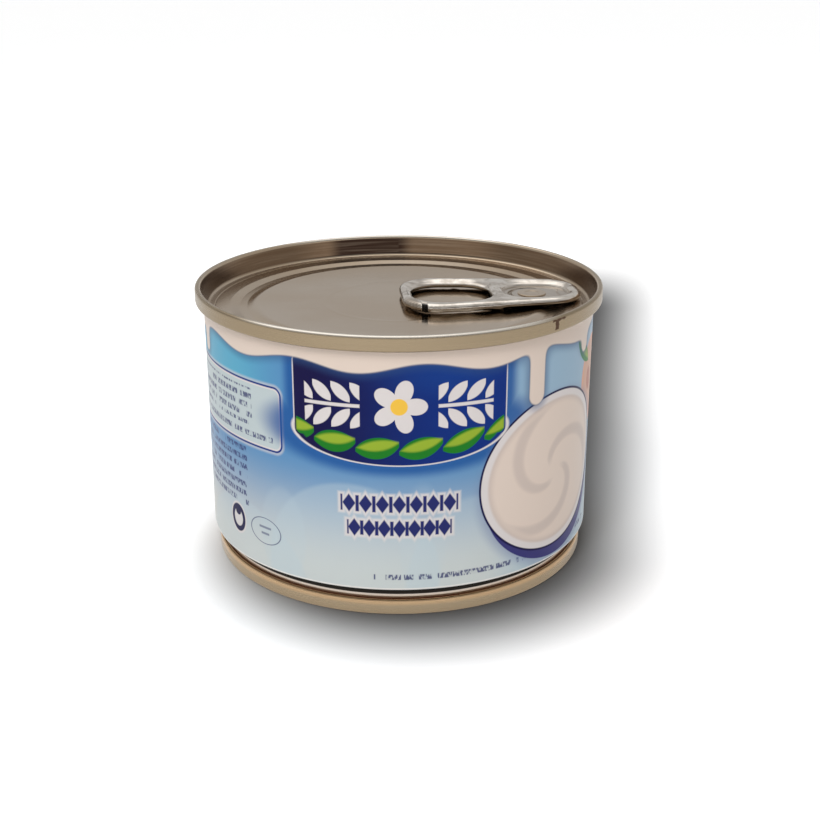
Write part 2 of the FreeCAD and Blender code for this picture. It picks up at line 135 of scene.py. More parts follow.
def make_camera():
    """A camera in front of the can and above it, turned to look straight at its middle."""
    data = bpy.data.cameras.new("camera")
    data.sensor_width = 36.0
    data.lens = FOCAL_WIDTHS * data.sensor_width
    data.shift_x, data.shift_y = SHIFT
    data.clip_start = 0.01
    camera = add_object("camera", data)
    pitch = math.radians(CAMERA_PITCH)
    away = CAMERA_DISTANCE * MM
    camera.location = (0, -away * math.cos(pitch), HEIGHT / 2 * MM + away * math.sin(pitch))
    camera.rotation_euler = (math.radians(90) - pitch, math.radians(ROLL), 0)
    bpy.context.scene.camera = camera
    return camera


print("lens of", round(make_camera().data.lens, 1), "mm")

# %% [markdown]
# ## Surfaces from arrays
#
# Every piece of a can is turned about an axis, or pressed and curled along a line, so each
# one is a grid of points: columns run round, rows run along a profile. A Screw modifier would
# do for the plain rings. The same few functions on arrays also make the pull tab, whose curls
# no modifier gives, and let the rows lie close together where the metal bends.

# %% A mesh from grids of points
def smooth_mesh(name, grids):
    """One closed, smooth mesh from grids of points in millimetres, of the shape (rows,
    columns, 3). Columns meet round a grid. Points that fall together are merged, which closes
    the poles and joins one grid to the next."""
    points, faces, first = [], [], 0
    for grid in grids:
        rows, columns = grid.shape[:2]
        number = first + np.arange(rows * columns).reshape(rows, columns)
        after = np.roll(number, -1, axis=1)
        quads = np.stack([number[:-1], after[:-1], after[1:], number[1:]], axis=-1)
        points.append(grid.reshape(-1, 3))
        faces.append(quads.reshape(-1, 4))
        first += rows * columns
    mesh = bpy.data.meshes.new(name)
    mesh.from_pydata(np.concatenate(points) * MM, [], np.concatenate(faces).tolist())
    work = bmesh.new()
    work.from_mesh(mesh)
    bmesh.ops.remove_doubles(work, verts=work.verts, dist=2e-7)
    bmesh.ops.recalc_face_normals(work, faces=work.faces)
    open_edges = sum(1 for edge in work.edges if not edge.is_manifold)
    work.to_mesh(mesh)
    work.free()
    mesh.polygons.foreach_set("use_smooth", np.ones(len(mesh.polygons), bool))
    piece = add_object(name, mesh)
    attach(piece, "root")
    print(f"{name}: {len(mesh.polygons)} faces, {open_edges} open edges")
    return piece


# %% A profile with rounded corners
def rounded(corners, steps=8, hold=0.06):
    """A line through corners (radius from the axis, height, roundness). Each corner becomes
    an arc that touches both of its runs: it starts roundness times tan(turn / 2) before the
    corner and ends as far after it. A pair of points holds each straight run flat."""
    spots = np.array([corner[:2] for corner in corners], float)
    line = [spots[0]]
    for before, here, after, corner in zip(spots, spots[1:], spots[2:], corners[1:]):
        into = (here - before) / np.linalg.norm(here - before)
        out = (after - here) / np.linalg.norm(after - here)
        turn = math.atan2(into[0] * out[1] - into[1] * out[0], into @ out)
        roundness = corner[2] if len(corner) > 2 else 0.0
        if roundness == 0 or abs(turn) < 1e-3:
            line.append(here)
            continue
        reach = roundness * math.tan(abs(turn) / 2)
        side = np.sign(turn) * np.array([-into[1], into[0]])
        start = here - reach * into
        angles = np.linspace(0, abs(turn), steps + 1)[:, None]
        arc = start + roundness * (np.sin(angles) * into + (1 - np.cos(angles)) * side)
        line += [start - hold * into, *arc, here + (reach + hold) * out]
    line.append(spots[-1])
    return np.array(line)


# %% A profile turned about an axis
def turned(profile, columns=360, centre=(0.0, 0.0)):
    """The grid of a profile turned round an upright axis: x = r sin(angle), y = -r cos(angle),
    with the angle measured from the front of the can towards its right."""
    angle = np.linspace(0, 2 * np.pi, columns, endpoint=False)
    radius, height = profile[:, 0, None], profile[:, 1, None]
    across = centre[0] + radius * np.sin(angle)
    along = centre[1] - radius * np.cos(angle)
    return np.stack([across, along, height + 0 * angle], axis=-1)


# %% [markdown]
# ## The wall
#
# The wall is rolled from printed tinplate and welded at the side. It flares slightly into
# the top seam, and near the foot it turns in over a sharp shoulder to a narrower neck, so
# that stacked cans nest. A rolled sheet stays a few hundredths of a millimetre out of round,
# which makes reflections wander, so the turned profile gets a small slow wave. The weld, where
# the two edges overlap, stands a tenth of a millimetre proud.

# %% Shape the wall
WELD_ANGLE = math.radians(97.0)
WELD_WIDTH = 0.9
WELD_RISE = 0.1


def wall_profile():
    """The can's wall from the middle of its closed foot, up the outside and back inside."""
    inner = FLARE_RADIUS - SHEET
    return rounded([
        (0, BASE_TOP),
        (NECK_RADIUS - SHEET, BASE_TOP), (NECK_RADIUS - SHEET, WALL_FOOT),
        (NECK_RADIUS, WALL_FOOT), (NECK_RADIUS, SHOULDER - 0.6, 0.6),
        (WALL_RADIUS, SHOULDER, 0.4), (WALL_RADIUS, 20.0, 5.0),
        (WALL_RADIUS, SEAM_FOOT - 1.5, 4.0),
        (FLARE_RADIUS, SEAM_FOOT), (FLARE_RADIUS, WALL_TOP),
        (inner, WALL_TOP), (inner, SEAM_FOOT),
        (WALL_RADIUS - SHEET, SEAM_FOOT - 1.5), (WALL_RADIUS - SHEET, LID_UNDER),
        (0, LID_UNDER),
    ])


def uneven(grid, depth=0.035):
    """The same turned grid with a slow wave in its radius, a sum of three sines of the angle
    that fades out towards both seams, and with the ridge of the weld."""
    angle = np.arctan2(grid[..., 0], -grid[..., 1])
    height = grid[..., 2]
    outside = np.hypot(grid[..., 0], grid[..., 1]) > WALL_RADIUS - SHEET / 2
    share = np.clip((height - SHOULDER) / (SEAM_FOOT - SHOULDER), 0, 1)
    fade = np.sin(np.pi * share) * outside
    wave = np.sin(3 * angle + 0.8) + 0.6 * np.sin(5 * angle + 2.1 + 0.04 * height)
    wave += 0.35 * np.sin(11 * angle - 1.3 + 0.09 * height)
    across = (angle - WELD_ANGLE) * WALL_RADIUS
    ridge = WELD_RISE / (1 + (2 * across / WELD_WIDTH) ** 6)
    shift = (depth * (wave - 1.6) / 1.6 + ridge) * fade ** 0.5
    scale = 1 + shift / WALL_RADIUS
    moved = grid.copy()
    moved[..., :2] *= scale[..., None]
    return moved


def with_more_rows(profile, longest=1.5):
    """The same line with extra points wherever two neighbours are further apart."""
    parts = [profile[:1]]
    for start, end in zip(profile, profile[1:]):
        pieces = max(1, math.ceil(np.linalg.norm(end - start) / longest))
        share = np.linspace(0, 1, pieces + 1)[1:, None]
        parts.append(start + share * (end - start))
    return np.concatenate(parts)


wall = smooth_mesh("printed_can_wall", [uneven(turned(with_more_rows(wall_profile()), 720))])
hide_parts("can_body")

# %% [markdown]
# ## The lid
#
# The lid is one pressing, and one profile gives it: a flat panel with one faint bead,
# a shallow groove that stiffens it, a land with the thin score line along which it tears,
# the chuck wall, and the roll over the wall's edge into the double seam. The groove and the
# land stay within about half a millimetre of the engineering model, whose rings are bolder.
# The panel of a full can is never quite flat. It gets an uneven rise of a few hundredths of a
# millimetre, and climbs by a third of a millimetre towards the groove. That small slope
# decides how much of the chuck wall the far side of the panel mirrors.

# %% Shape the lid
def bead(radius, width, rise):
    """Corners of a low raised bead on the lid's panel."""
    start, end = radius - width / 2, radius + width / 2
    return [(start, PANEL, 0.5), (radius, PANEL + rise, 1.2), (end, PANEL, 0.5)]


def lid_profile():
    """The lid from the middle of its panel, out over the seam and back underneath."""
    half_score, score_depth = 0.15, 0.05
    return rounded([
        (0, PANEL),
        *bead(FAINT_BEAD, 1.4, 0.015),
        (RISE_START, PANEL, 250.0), (STEEPER_RISE, PANEL + 0.06, 80.0),
        (GROOVE_START, PANEL_EDGE, 4.0), (GROOVE_START + GROOVE_RUN, GROOVE, 0.9),
        (LAND_START, GROOVE, 0.9), (LAND_START + LAND_RUN, LAND, 0.9),
        (SCORE_RADIUS - half_score, LAND, 0.05),
        (SCORE_RADIUS, LAND - score_depth, 0.05),
        (SCORE_RADIUS + half_score, LAND, 0.05),
        (CHUCK_FOOT, LAND, 0.8),
        (SEAM_RADIUS - SEAM_WIDTH, HEIGHT, 0.45), (SEAM_RADIUS, HEIGHT, 0.48),
        (SEAM_RADIUS, SEAM_FOOT, 0.38),
        (FLARE_RADIUS - OVERLAP, SEAM_FOOT), (FLARE_RADIUS - OVERLAP, WALL_TOP),
        (FLARE_RADIUS - SHEET, WALL_TOP), (FLARE_RADIUS - SHEET, SEAM_FOOT),
        (WALL_RADIUS - SHEET, SEAM_FOOT - 1.5), (WALL_RADIUS - SHEET, LID_UNDER),
        (0, LID_UNDER),
    ])


def pressed(grid, rise=0.03):
    """The same grid with a smooth two-way wave in the panel that dies out at the groove."""
    across, along, height = grid[..., 0], grid[..., 1], grid[..., 2]
    radius = np.hypot(across, along)
    inside = np.clip(1 - radius / GROOVE_START, 0, 1) * (height > LID_UNDER + 0.2)
    wave = np.sin(0.16 * across + 0.7) * np.cos(0.13 * along - 0.4)
    wave += 0.4 * np.sin(0.31 * along)
    moved = grid.copy()
    moved[..., 2] += rise * wave * inside ** 0.5 * np.clip(radius / 4, 0, 1)
    return moved


lid = smooth_mesh("lid_and_top_seam", [pressed(turned(with_more_rows(lid_profile(), 2.0)))])
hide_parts("top_end")

# %% [markdown]
# ## The base
#
# The base is turned from one profile too. It is pressed like the lid and seamed to the neck,
# and the can stands on the crest of that seam. Two beads let the panel move out a little when
# the can is heated, and a groove runs inside the chuck wall.

# %% Shape the base
def base_profile():
    """The base from the middle of its panel, out over the foot and back inside the wall."""
    groove_top = BASE_PANEL + 0.7
    bead_top = BASE_PANEL + 0.45
    bead_width = 5.0
    corners = [(0, BASE_PANEL)]
    for start in BASE_BEADS:
        end = start + bead_width
        corners += [
            (start, BASE_PANEL, 0.35), (start + BASE_SLOPE, bead_top, 0.35),
            (end - BASE_SLOPE, bead_top, 0.35), (end, BASE_PANEL, 0.35),
        ]
    return rounded(corners + [
        (BASE_GROOVE, BASE_PANEL, 0.35),
        (BASE_GROOVE + BASE_SLOPE, groove_top, 0.35),
        (BASE_CHUCK, groove_top, 0.35),
        (BASE_SEAM_RADIUS - BASE_SEAM_WIDTH, 0, 0.5),
        (BASE_SEAM_RADIUS, 0, 0.5), (BASE_SEAM_RADIUS, BASE_SEAM_LENGTH, 0.38),
        (NECK_RADIUS - OVERLAP, BASE_SEAM_LENGTH), (NECK_RADIUS - OVERLAP, WALL_FOOT),
        (NECK_RADIUS - SHEET, WALL_FOOT), (NECK_RADIUS - SHEET, BASE_TOP),
        (0, BASE_TOP),
    ])


base = smooth_mesh("base_and_foot_seam", [turned(with_more_rows(base_profile(), 2.0))])
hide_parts("bottom_end")

# %% [markdown]
# ## The pull tab
#
# The tab is stamped from steel strip. Its outer edge is curled under all round, the edge of
# the finger hole is rolled too, and the nose carries a sunk web with a C-shaped slit, inside
# which the rivet holds a tongue. Box modelling with a subdivision surface could make it. Here
# distances do: how far a point lies from the outline, the hole and the web decides how high
# the metal stands. The grid's rows are lines of equal distance, so they follow every curl.

# %% The tab's plan
TAB_HEEL = (0.4, -0.65)
TAB_TURN = math.radians(4.8)
BAR = 18.3
RIVET = 25.0
OUTLINE = (0.0, 34.1, 11.3, 7.0, 6.7)
FINGER_HOLE = (2.1, 17.0, 8.2, 6.9, 5.8)
WEB = (19.6, 31.9, 6.2, 4.9, 4.6)
GAP_ALONG = 3.6
GAP_WIDTH = 1.1
SLIT_RADIUS = 4.2


def tapered(u, v, start, end, start_half, end_half, corner):
    """Distance to a rounded block that narrows along u: the distance to the smaller block
    through the corners' centres, less the corner radius."""
    slope = (start_half - end_half) / (end - start)
    lean = corner * math.sqrt(1 + slope ** 2)
    left, right = start + corner, end - corner
    left_half = start_half - slope * corner - lean
    right_half = end_half + slope * corner - lean
    run, drop = right - left, right_half - left_half
    side = np.abs(v)
    share = (u - left) * run + (side - left_half) * drop
    share = np.clip(share / (run ** 2 + drop ** 2), 0, 1)
    to_side = np.hypot(u - left - share * run, side - left_half - share * drop)
    to_left = np.hypot(u - left, side - np.clip(side, 0, left_half))
    to_right = np.hypot(u - right, side - np.clip(side, 0, right_half))
    nearest = np.minimum(to_side, np.minimum(to_left, to_right))
    inside = (u > left) & (u < right) & (side < left_half + (u - left) * drop / run)
    return np.where(inside, -nearest, nearest) - corner


def distance_to(block):
    """The signed distance to one block, negative inside, as a function of u and v."""
    return lambda u, v: tapered(u, v, *block)


to_outline, to_hole, to_web = map(distance_to, (OUTLINE, FINGER_HOLE, WEB))

# %% How high the metal stands
CURL = 1.15
ROLL_IN = 1.0
WEB_GAUGE = 0.45
NOSE_LIFT = 0.35


def arch(distance, radius):
    """A quarter of a circle of radius one, over a distance from its edge."""
    share = np.clip(distance / radius, 0, 1)
    return np.sqrt(1 - (1 - share) ** 2)


def ramp(value, low, high):
    """Zero below low, one above high, and a smooth S between them."""
    share = np.clip((value - low) / (high - low), 0, 1)
    return share * share * (3 - 2 * share)


def curl_gap(u, v):
    """One in the gap where the curled strip's ends meet, on the tab's near side."""
    across = 1 / (1 + (2 * (u - GAP_ALONG) / GAP_WIDTH) ** 12)
    return across * (v < 0) * ramp(to_outline(u, v), -1.5, -1.3)


def tab_heights(u, v):
    """Heights of the tab's two faces over its plan. Both leave the middle of an edge as a
    quarter of an ellipse, so that each rim is a round tube. The upper face falls to the web in
    the nose, with the slit round the tongue. The far side rises steeply at its edge and leans
    inwards. The curl's lower edge is ragged, as cut strip is."""
    outer = -to_outline(u, v)
    hole, web = to_hole(u, v), to_web(u, v)
    under = NOSE_LIFT * ramp(u, BAR - 0.7, BAR + 0.7)
    gap = curl_gap(u, v)
    middle = (TAB_HEIGHT + under) / 2
    far_side = ramp(v, 0.5, 3.0)
    far = far_side * (1 - 0.6 * ramp(u, 22.0, 32.0))
    curl, roll = CURL - 0.35 * far, ROLL_IN + 0.8 * far
    edge = np.minimum(arch(outer, curl), arch(hole, roll))
    rolled = np.minimum(edge, np.where(web > 0, arch(web, roll), 0))
    crease = 0.16 * np.exp(-((u - BAR) / 0.35) ** 2) * ramp(-np.abs(v), -6.5, -4.5)
    lean = far_side * (1 - ramp(u, 16.5, 17.8) * ramp(-u, -21.5, -20.0))
    lean = 0.2 * lean * np.clip(outer - 0.45, 0, 1.6)
    top = middle + (TAB_HEIGHT - middle - lean - 0.12 * gap) * rolled - crease
    web_top = NOSE_LIFT + WEB_GAUGE
    top = np.where(web < 0, web_top + (middle - web_top) * ramp(web, -0.2, 0), top)
    reach, turn = np.hypot(u - RIVET, v), np.abs(np.arctan2(v, RIVET - u))
    slit = ramp(-np.abs(reach - SLIT_RADIUS), -0.42, -0.24) * ramp(-turn, -1.98, -1.9)
    bend = np.exp(-((u - 30.2 - 0.06 * v ** 2) / 0.16) ** 2) * (np.abs(v) < 2.6)
    top = top - (slit * 0.42 + 0.14 * bend) * (web < -0.1)
    ragged = 1 + 0.6 * np.sin(0.95 * u + 0.4) + 0.4 * np.sin(2.3 * u - v)
    ragged = 0.17 * ragged * ramp(-outer, -1.3, -0.7) * ramp(-u, -20.0, -15.0)
    bottom = middle - (middle - under) * edge * (1 - ragged)
    return top, bottom


# %% Rows of equal distance
def ray_lengths(field, centre, turns, levels):
    """How far each ray from a centre runs until a field reaches each level. The field grows
    along a ray, so halving an interval forty times finds the length."""
    low = np.zeros((len(levels), len(turns)))
    high = np.full_like(low, 45.0)
    for _ in range(40):
        middle = (low + high) / 2
        u = centre + middle * np.cos(turns)
        v = middle * np.sin(turns)
        below = field(u, v) < np.asarray(levels)[:, None]
        low, high = np.where(below, middle, low), np.where(below, high, middle)
    return (low + high) / 2


def quarter(radius, count):
    """Distances from an edge, even along the quarter circle that rises from it."""
    return radius * (1 - np.cos(np.linspace(0, np.pi / 2, count)))


def turns_round(centre, count):
    """Directions of the rays from a centre: to evenly spaced points of the bar's line, which
    the tab's two halves share, and then round the rest of the outline."""
    half_width = ray_lengths(to_outline, BAR, np.array([np.pi / 2]), [0.0])[0, 0]
    shared = np.linspace(-1, 1, 61) * half_width
    if centre < BAR:
        turns = np.arctan2(shared, BAR - centre)
    else:
        turns = np.arctan2(-shared, BAR - centre) % (2 * np.pi)
    rest = np.linspace(turns[-1], turns[0] + 2 * np.pi, count)[1:-1]
    return np.concatenate([turns, rest])


def blended_rows(inner, outer, count):
    """Rows spread evenly between two."""
    share = np.linspace(0, 1, count + 2)[1:-1, None]
    return inner + share * (outer - inner)


def edge_lengths(centre, turns):
    """How far the rays run to the rows of the outer curl, which end on outline or bar."""
    side = 1 if centre > BAR else -1
    return ray_lengths(lambda u, v: np.maximum(to_outline(u, v), side * (BAR - u)),
                       centre, turns, -quarter(CURL, 12)[::-1])


def in_plan(centre, turns, *rows):
    """Where rows of lengths along the rays from a centre lie on the tab's plan."""
    reach = np.concatenate(rows)
    return centre + reach * np.cos(turns), reach * np.sin(turns)


def ring_rows():
    """Plan of the ring: rows leave the finger hole's edge for the outline or bar."""
    centre = (FINGER_HOLE[0] + FINGER_HOLE[1]) / 2
    turns = turns_round(centre, 420)
    hole = ray_lengths(to_hole, centre, turns, quarter(ROLL_IN, 9))
    edge = edge_lengths(centre, turns)
    return in_plan(centre, turns, hole, blended_rows(hole[-1], edge[0], 5), edge)


def nose_rows():
    """Plan of the nose: rows leave the rivet as circles, take on the web's shape past the
    slit, and go on to the outline or bar."""
    turns = turns_round(RIVET, 380)
    circles = np.array([0, 1.2, 2.4, 3.3, 3.7, 3.78, 3.84, 3.9, 3.96, 4.08, 4.2, 4.32, 4.44,
                        4.5, 4.56, 4.62, 4.7])[:, None] + 0 * turns
    web = ray_lengths(to_web, RIVET, turns,
                      np.concatenate([np.linspace(-0.24, -0.02, 6), quarter(ROLL_IN, 9)]))
    edge = edge_lengths(RIVET, turns)
    return in_plan(RIVET, turns, circles, blended_rows(circles[-1], web[0], 8), web,
                   blended_rows(web[-1], edge[0], 3), edge)


# %% Pleats, and the tab in its place
def pleated(u, v):
    """Small pleats at the heel's corners: short waves along the edge that pull the curl
    inwards."""
    near_edge = ramp(to_outline(u, v), -0.8, 0)
    corner = np.exp(-((u - 2.2) / 2.6) ** 2) * ramp(np.abs(v), 4.0, 7.5)
    along = np.arctan2(v, u - 9.5) * 11.0
    pull = (0.008 * corner + 0.001) * (1 + np.sin(2 * np.pi * along / 0.8)) * near_edge
    return u + (14.0 - u) * pull, v * (1 - pull)


def swung(across, along, turn):
    """A place in plan, turned about the origin from the first axis towards the second."""
    cos, sin = math.cos(turn), math.sin(turn)
    return across * cos - along * sin, across * sin + along * cos


def placed(u, v, height):
    """From the tab's own plan to the can: turned about the heel and lifted to its place."""
    across, along = swung(u, v, TAB_TURN)
    return np.stack([TAB_HEEL[0] + across, TAB_HEEL[1] + along, TAB_UNDER + height], axis=-1)


def tab_grids():
    """An upper and a lower face for the ring and for the nose."""
    grids = []
    for u, v in (ring_rows(), nose_rows()):
        heights = tab_heights(u, v)
        u, v = pleated(u, v)
        grids += [placed(u, v, height) for height in heights]
    return grids


tab = smooth_mesh("pull_tab_steel", tab_grids())
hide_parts("pull_tab")

# %% [markdown]
# ## The rivet
#
# On a real lid the rivet is a button drawn up out of the panel, pushed through the tab's
# tongue and flattened. A small turned piece stands for it, sunk into the panel, with the
# shallow dimple that the flattening punch leaves.

# %% Shape the rivet
STEM_RADIUS = 1.5
HEAD_RADIUS = 2.7
DIMPLE = 0.1


def rivet_profile():
    """The rivet from under the panel, up its seat and stem, and over its dimpled head."""
    head_foot = TAB_UNDER + NOSE_LIFT + WEB_GAUGE - 0.02
    head_top = head_foot + 0.22
    return rounded([
        (0, PANEL - 0.2), (3.0, PANEL - 0.2), (2.9, PANEL - 0.02, 0.05),
        (2.1, TAB_UNDER + NOSE_LIFT, 0.2), (STEM_RADIUS, TAB_UNDER + NOSE_LIFT),
        (STEM_RADIUS, head_foot), (HEAD_RADIUS, head_foot, 0.05),
        (HEAD_RADIUS, head_top, 0.1), (STEM_RADIUS, head_top, 0.3),
        (1.1, head_top - DIMPLE, 0.3), (0, head_top - DIMPLE),
    ], hold=0.02)


rivet_spot = placed(np.array(RIVET), np.array(0.0), np.array(0.0))[:2]
rivet = smooth_mesh("lid_rivet", [turned(rivet_profile(), 96, tuple(rivet_spot))])

# %% [markdown]
# ## Floor, sky and lamps
#
# Bare metal has hardly any colour of its own: it shows what stands round it. So the sky is
# part of the finish: pale near the horizon, as a paper sweep would be, duller higher up,
# bright overhead, where a studio hangs its soft light, and dim on the near side, where the
# room behind the camera is, but for a low band of windows. An image of a studio would do this
# too, but a few sums on a ray's direction need no file. The camera and reflections find a
# brighter floor than light does, so it shows white. For the camera alone a painted shadow
# darkens it near the can and in a band that runs away from the lamp, which gives the shadow a
# soft, clean edge.

# %% Numbers that vary over a surface
def feed(slot, term):
    """Link an input of a node to a varying term, or set it to a fixed one."""
    if isinstance(term, Varying):
        slot.id_data.links.new(term.socket, slot)
    else:
        slot.default_value = term


def add_node(kind, *terms, **settings):
    """A node with these settings, its inputs filled in order, in the tree of the first term
    that varies."""
    tree = next(term.socket.id_data for term in terms if isinstance(term, Varying))
    node = tree.nodes.new("ShaderNode" + kind)
    for name, value in settings.items():
        setattr(node, name, value)
    for slot, term in zip(node.inputs, terms):
        feed(slot, term)
    return node


class Varying:
    """The output of a node, with ordinary sums. Each sum adds one Math node to its tree."""

    def __init__(self, socket):
        self.socket = socket

    def then(self, operation, *others):
        """The result of a Math operation on this number."""
        return Varying(add_node("Math", self, *others, operation=operation).outputs[0])

    def __add__(self, other):
        return self.then("ADD", other)

    def __sub__(self, other):
        return self.then("SUBTRACT", other)

    def __rsub__(self, other):
        return Varying(add_node("Math", other, self, operation="SUBTRACT").outputs[0])

    def __mul__(self, other):
        return self.then("MULTIPLY", other)

    def __abs__(self):
        return self.then("ABSOLUTE")

    __radd__ = __add__
    __rmul__ = __mul__

    def at_least(self, other):
        """The larger of this number and another."""
        return self.then("MAXIMUM", other)

    def at_most(self, other):
        """The smaller of this number and another."""
        return self.then("MINIMUM", other)

    def between(self, low, high, from_value=0.0, to_value=1.0):
        """A smooth change between two values while this number goes from low to high."""
        return Varying(add_node("MapRange", self, low, high, from_value, to_value,
                                interpolation_type="SMOOTHSTEP").outputs[0])

    def falls(self, low, high):
        """One below low, nought above high, and a smooth change between them."""
        return self.between(low, high, 1.0, 0.0)


def parts_of(vector):
    """The three coordinates of a vector."""
    return [Varying(output) for output in add_node("SeparateXYZ", vector).outputs]


def joined(*parts):
    """Three numbers as one vector."""
    return Varying(add_node("CombineXYZ", *parts).outputs[0])


def vector_sum(operation, *vectors):
    """The result of a Vector Math node: a number for a length, or else a vector."""
    node = add_node("VectorMath", *vectors, operation=operation)
    return Varying(node.outputs["Value" if operation == "LENGTH" else "Vector"])


def coordinates(tree, kind):
    """One output of a Texture Coordinate node."""
    return Varying(tree.nodes.new("ShaderNodeTexCoord").outputs[kind])


def flat(red, green, blue):
    """A colour as it is mixed on a screen, 0 to 255, as the light that it stands for."""
    parts = np.array([red, green, blue]) / 255
    light = np.where(parts <= 0.04045, parts / 12.92, ((parts + 0.055) / 1.055) ** 2.4)
    return (*light.tolist(), 1.0)


# %% Sky
HORIZON = 0.8
HIGHER_UP = 0.57
OVERHEAD = 0.95
TOWARDS_SOFT_LIGHT = (-0.2, 0.34, 0.919)
ROOM_DARKNESS = 0.75
WINDOW = 0.5


def background_rays(tree):
    """One for rays from the camera, a mirror or glass. Then one for camera rays alone."""
    node = tree.nodes.new("ShaderNodeLightPath")
    seen = [Varying(node.outputs[name])
            for name in ("Is Camera Ray", "Is Glossy Ray", "Is Transmission Ray")]
    return seen[0].at_least(seen[1]).at_least(seen[2]), seen[0]


def make_sky():
    """Brightness by a ray's direction. Height is the sine of its elevation."""
    world = bpy.data.worlds.new("sky")
    bpy.context.scene.world = world
    world.use_nodes = True
    tree = world.node_tree
    across, along, height = parts_of(coordinates(tree, "Generated"))
    low_sky = height.between(0.05, 0.16, HORIZON, HIGHER_UP)
    right, back, high = TOWARDS_SOFT_LIGHT
    towards_light = across * right + along * back + height * high
    soft_top = towards_light.between(0.8, 0.93, 0.0, OVERHEAD)
    dim = height.between(0.32, 0.42) * height.falls(0.6, 0.75)
    dim = dim + height.falls(0.08, 0.14)
    near_side = along * -1.0
    room = near_side.between(0.1, 0.6) * dim
    window = near_side.between(0.3, 0.7) * height.between(0.02, 0.1)
    window = window * height.between(0.3, 0.4, WINDOW, 0.0)
    brightness = (low_sky + soft_top) * (1.0 - ROOM_DARKNESS * room) + window
    camera_sees = background_rays(tree)[1]
    brightness = brightness + camera_sees * (1.0 - brightness)
    background = tree.nodes["Background"]
    feed(background.inputs["Color"], (1.0, 1.0, 1.0, 1.0))
    feed(background.inputs["Strength"], brightness)


make_sky()
bpy.context.scene.view_settings.view_transform = "Standard"

# %% Floor
FLOOR_COLOUR = 0.8
FLOOR_MIRRORED = 1.0
FLOOR_SEEN = 1.3
SHADE_START = (0.003, -0.0048)
SHADE_TURN = math.radians(9.9)
SHADE_RUN = 0.25
SHADE_DEPTH = 0.92
SHADE_EDGE = (0.028, 0.057)
LEFT_EDGE_SHARPER = 1.12


def shade(across, along):
    """A painted shadow: the share of its brightness that the floor keeps, little in a band
    that runs from under the can away from the lamp, and all of it past the band's soft edge."""
    side, run = swung(across - SHADE_START[0], along - SHADE_START[1], SHADE_TURN)
    side = side.at_least(side * -LEFT_EDGE_SHARPER)
    held = run.at_least(0.0).at_most(SHADE_RUN)
    past = run - held
    away = (past * past + side * side).then("SQRT")
    dark = away.between(*SHADE_EDGE, SHADE_DEPTH, 0.0)
    return 1.0 - dark * held.falls(0.7 * SHADE_RUN, SHADE_RUN)


def make_floor():
    """A disc many metres wide under the can's foot. Rays that look at it find it brighter
    than light does, and for the camera a painted shadow makes it darker by the can."""
    bpy.ops.mesh.primitive_circle_add(vertices=128, radius=30.0, fill_type="NGON")
    floor = bpy.context.object
    floor.name = "floor"
    material = bpy.data.materials.new("pale_floor")
    material.use_nodes = True
    tree = material.node_tree
    tree.nodes.clear()
    across, along, _ = parts_of(coordinates(tree, "Object"))
    seen, by_camera = background_rays(tree)
    value = FLOOR_COLOUR + seen * (FLOOR_MIRRORED - FLOOR_COLOUR)
    # painted shadow on the floor, for camera rays only
    value = value + by_camera * (shade(across, along) * FLOOR_SEEN - FLOOR_MIRRORED)
    matt = tree.nodes.new("ShaderNodeBsdfDiffuse")
    feed(matt.inputs["Color"], joined(value, value, value))
    output = tree.nodes.new("ShaderNodeOutputMaterial")
    tree.links.new(matt.outputs[0], output.inputs["Surface"])
    floor.data.materials.append(material)


make_floor()

# %% Lamp
def make_lamp(name, place, aim, size, power):
    """A square soft light that faces a point, in metres. Metal does not mirror it."""
    data = bpy.data.lights.new(name, "AREA")
    data.size = size
    data.energy = power
    lamp = add_object(name, data)
    place, aim = np.array(place), np.array(aim)
    away = (place - aim) / np.linalg.norm(place - aim)
    pitch = math.acos(away[2])
    turn = math.atan2(away[0], -away[1])
    lamp.location = place
    lamp.rotation_euler = (pitch, 0, turn)
    lamp.visible_glossy = False


make_lamp("soft_key", (-0.113, -0.423, 0.46), (0, 0, 0.02), 0.24, 1.7)

# %% [markdown]
# ## Bare metal
#
# Tinplate is steel with a thin coat of tin and a clear lacquer, which gives it a warm tan
# cast. A metallic Principled shader shows that well. A single colour would look like plastic
# film, so fine lines from rolling or seaming roughen and tilt the surface, and slow clouds
# change the tone. Some tones that a room's reflections would give are painted on: the chuck
# wall is brown, darkest at the back, and the crest is bright at the front and back.

# %% Helpers for shaders
def blend(share, under, over):
    """Colour that goes from under to over as share goes from nought to one."""
    node = add_node("Mix", share, data_type="RGBA")
    feed(node.inputs[6], under)
    feed(node.inputs[7], over)
    return Varying(node.outputs[2])


def noise(place, scale, detail=3.0):
    """A cloudy pattern about 0.5, with so many clouds for each millimetre each way."""
    node = add_node("TexNoise", vector_sum("MULTIPLY", place, scale))
    feed(node.inputs["Scale"], 1.0)
    feed(node.inputs["Detail"], detail)
    return Varying(node.outputs[0])


def tilt(shader, height, distance):
    """Bump from a height that varies, with this real relief in millimetres."""
    node = shader.id_data.nodes.new("ShaderNodeBump")
    feed(node.inputs["Strength"], 1.0)
    feed(node.inputs["Distance"], distance * MM)
    feed(node.inputs["Height"], height)
    feed(shader.inputs["Normal"], Varying(node.outputs[0]))


def new_material(name):
    """A material with a faint Principled shine, its shader, and the place in millimetres on
    the piece that wears it."""
    material = bpy.data.materials.new(name)
    material.use_nodes = True
    shader = material.node_tree.nodes["Principled BSDF"]
    feed(shader.inputs["Specular IOR Level"], 0.1)
    place = coordinates(material.node_tree, "Object")
    return material, shader, vector_sum("MULTIPLY", place, (1 / MM, 1 / MM, 1 / MM))


def round_the_axis(across, along):
    """Distance from the can's axis, and distance along the wall from the middle of the
    front, in millimetres, positive towards the right."""
    radius = (across * across + along * along).then("SQRT")
    angle = across.then("ARCTAN2", along * -1.0)
    return radius, angle * WALL_RADIUS


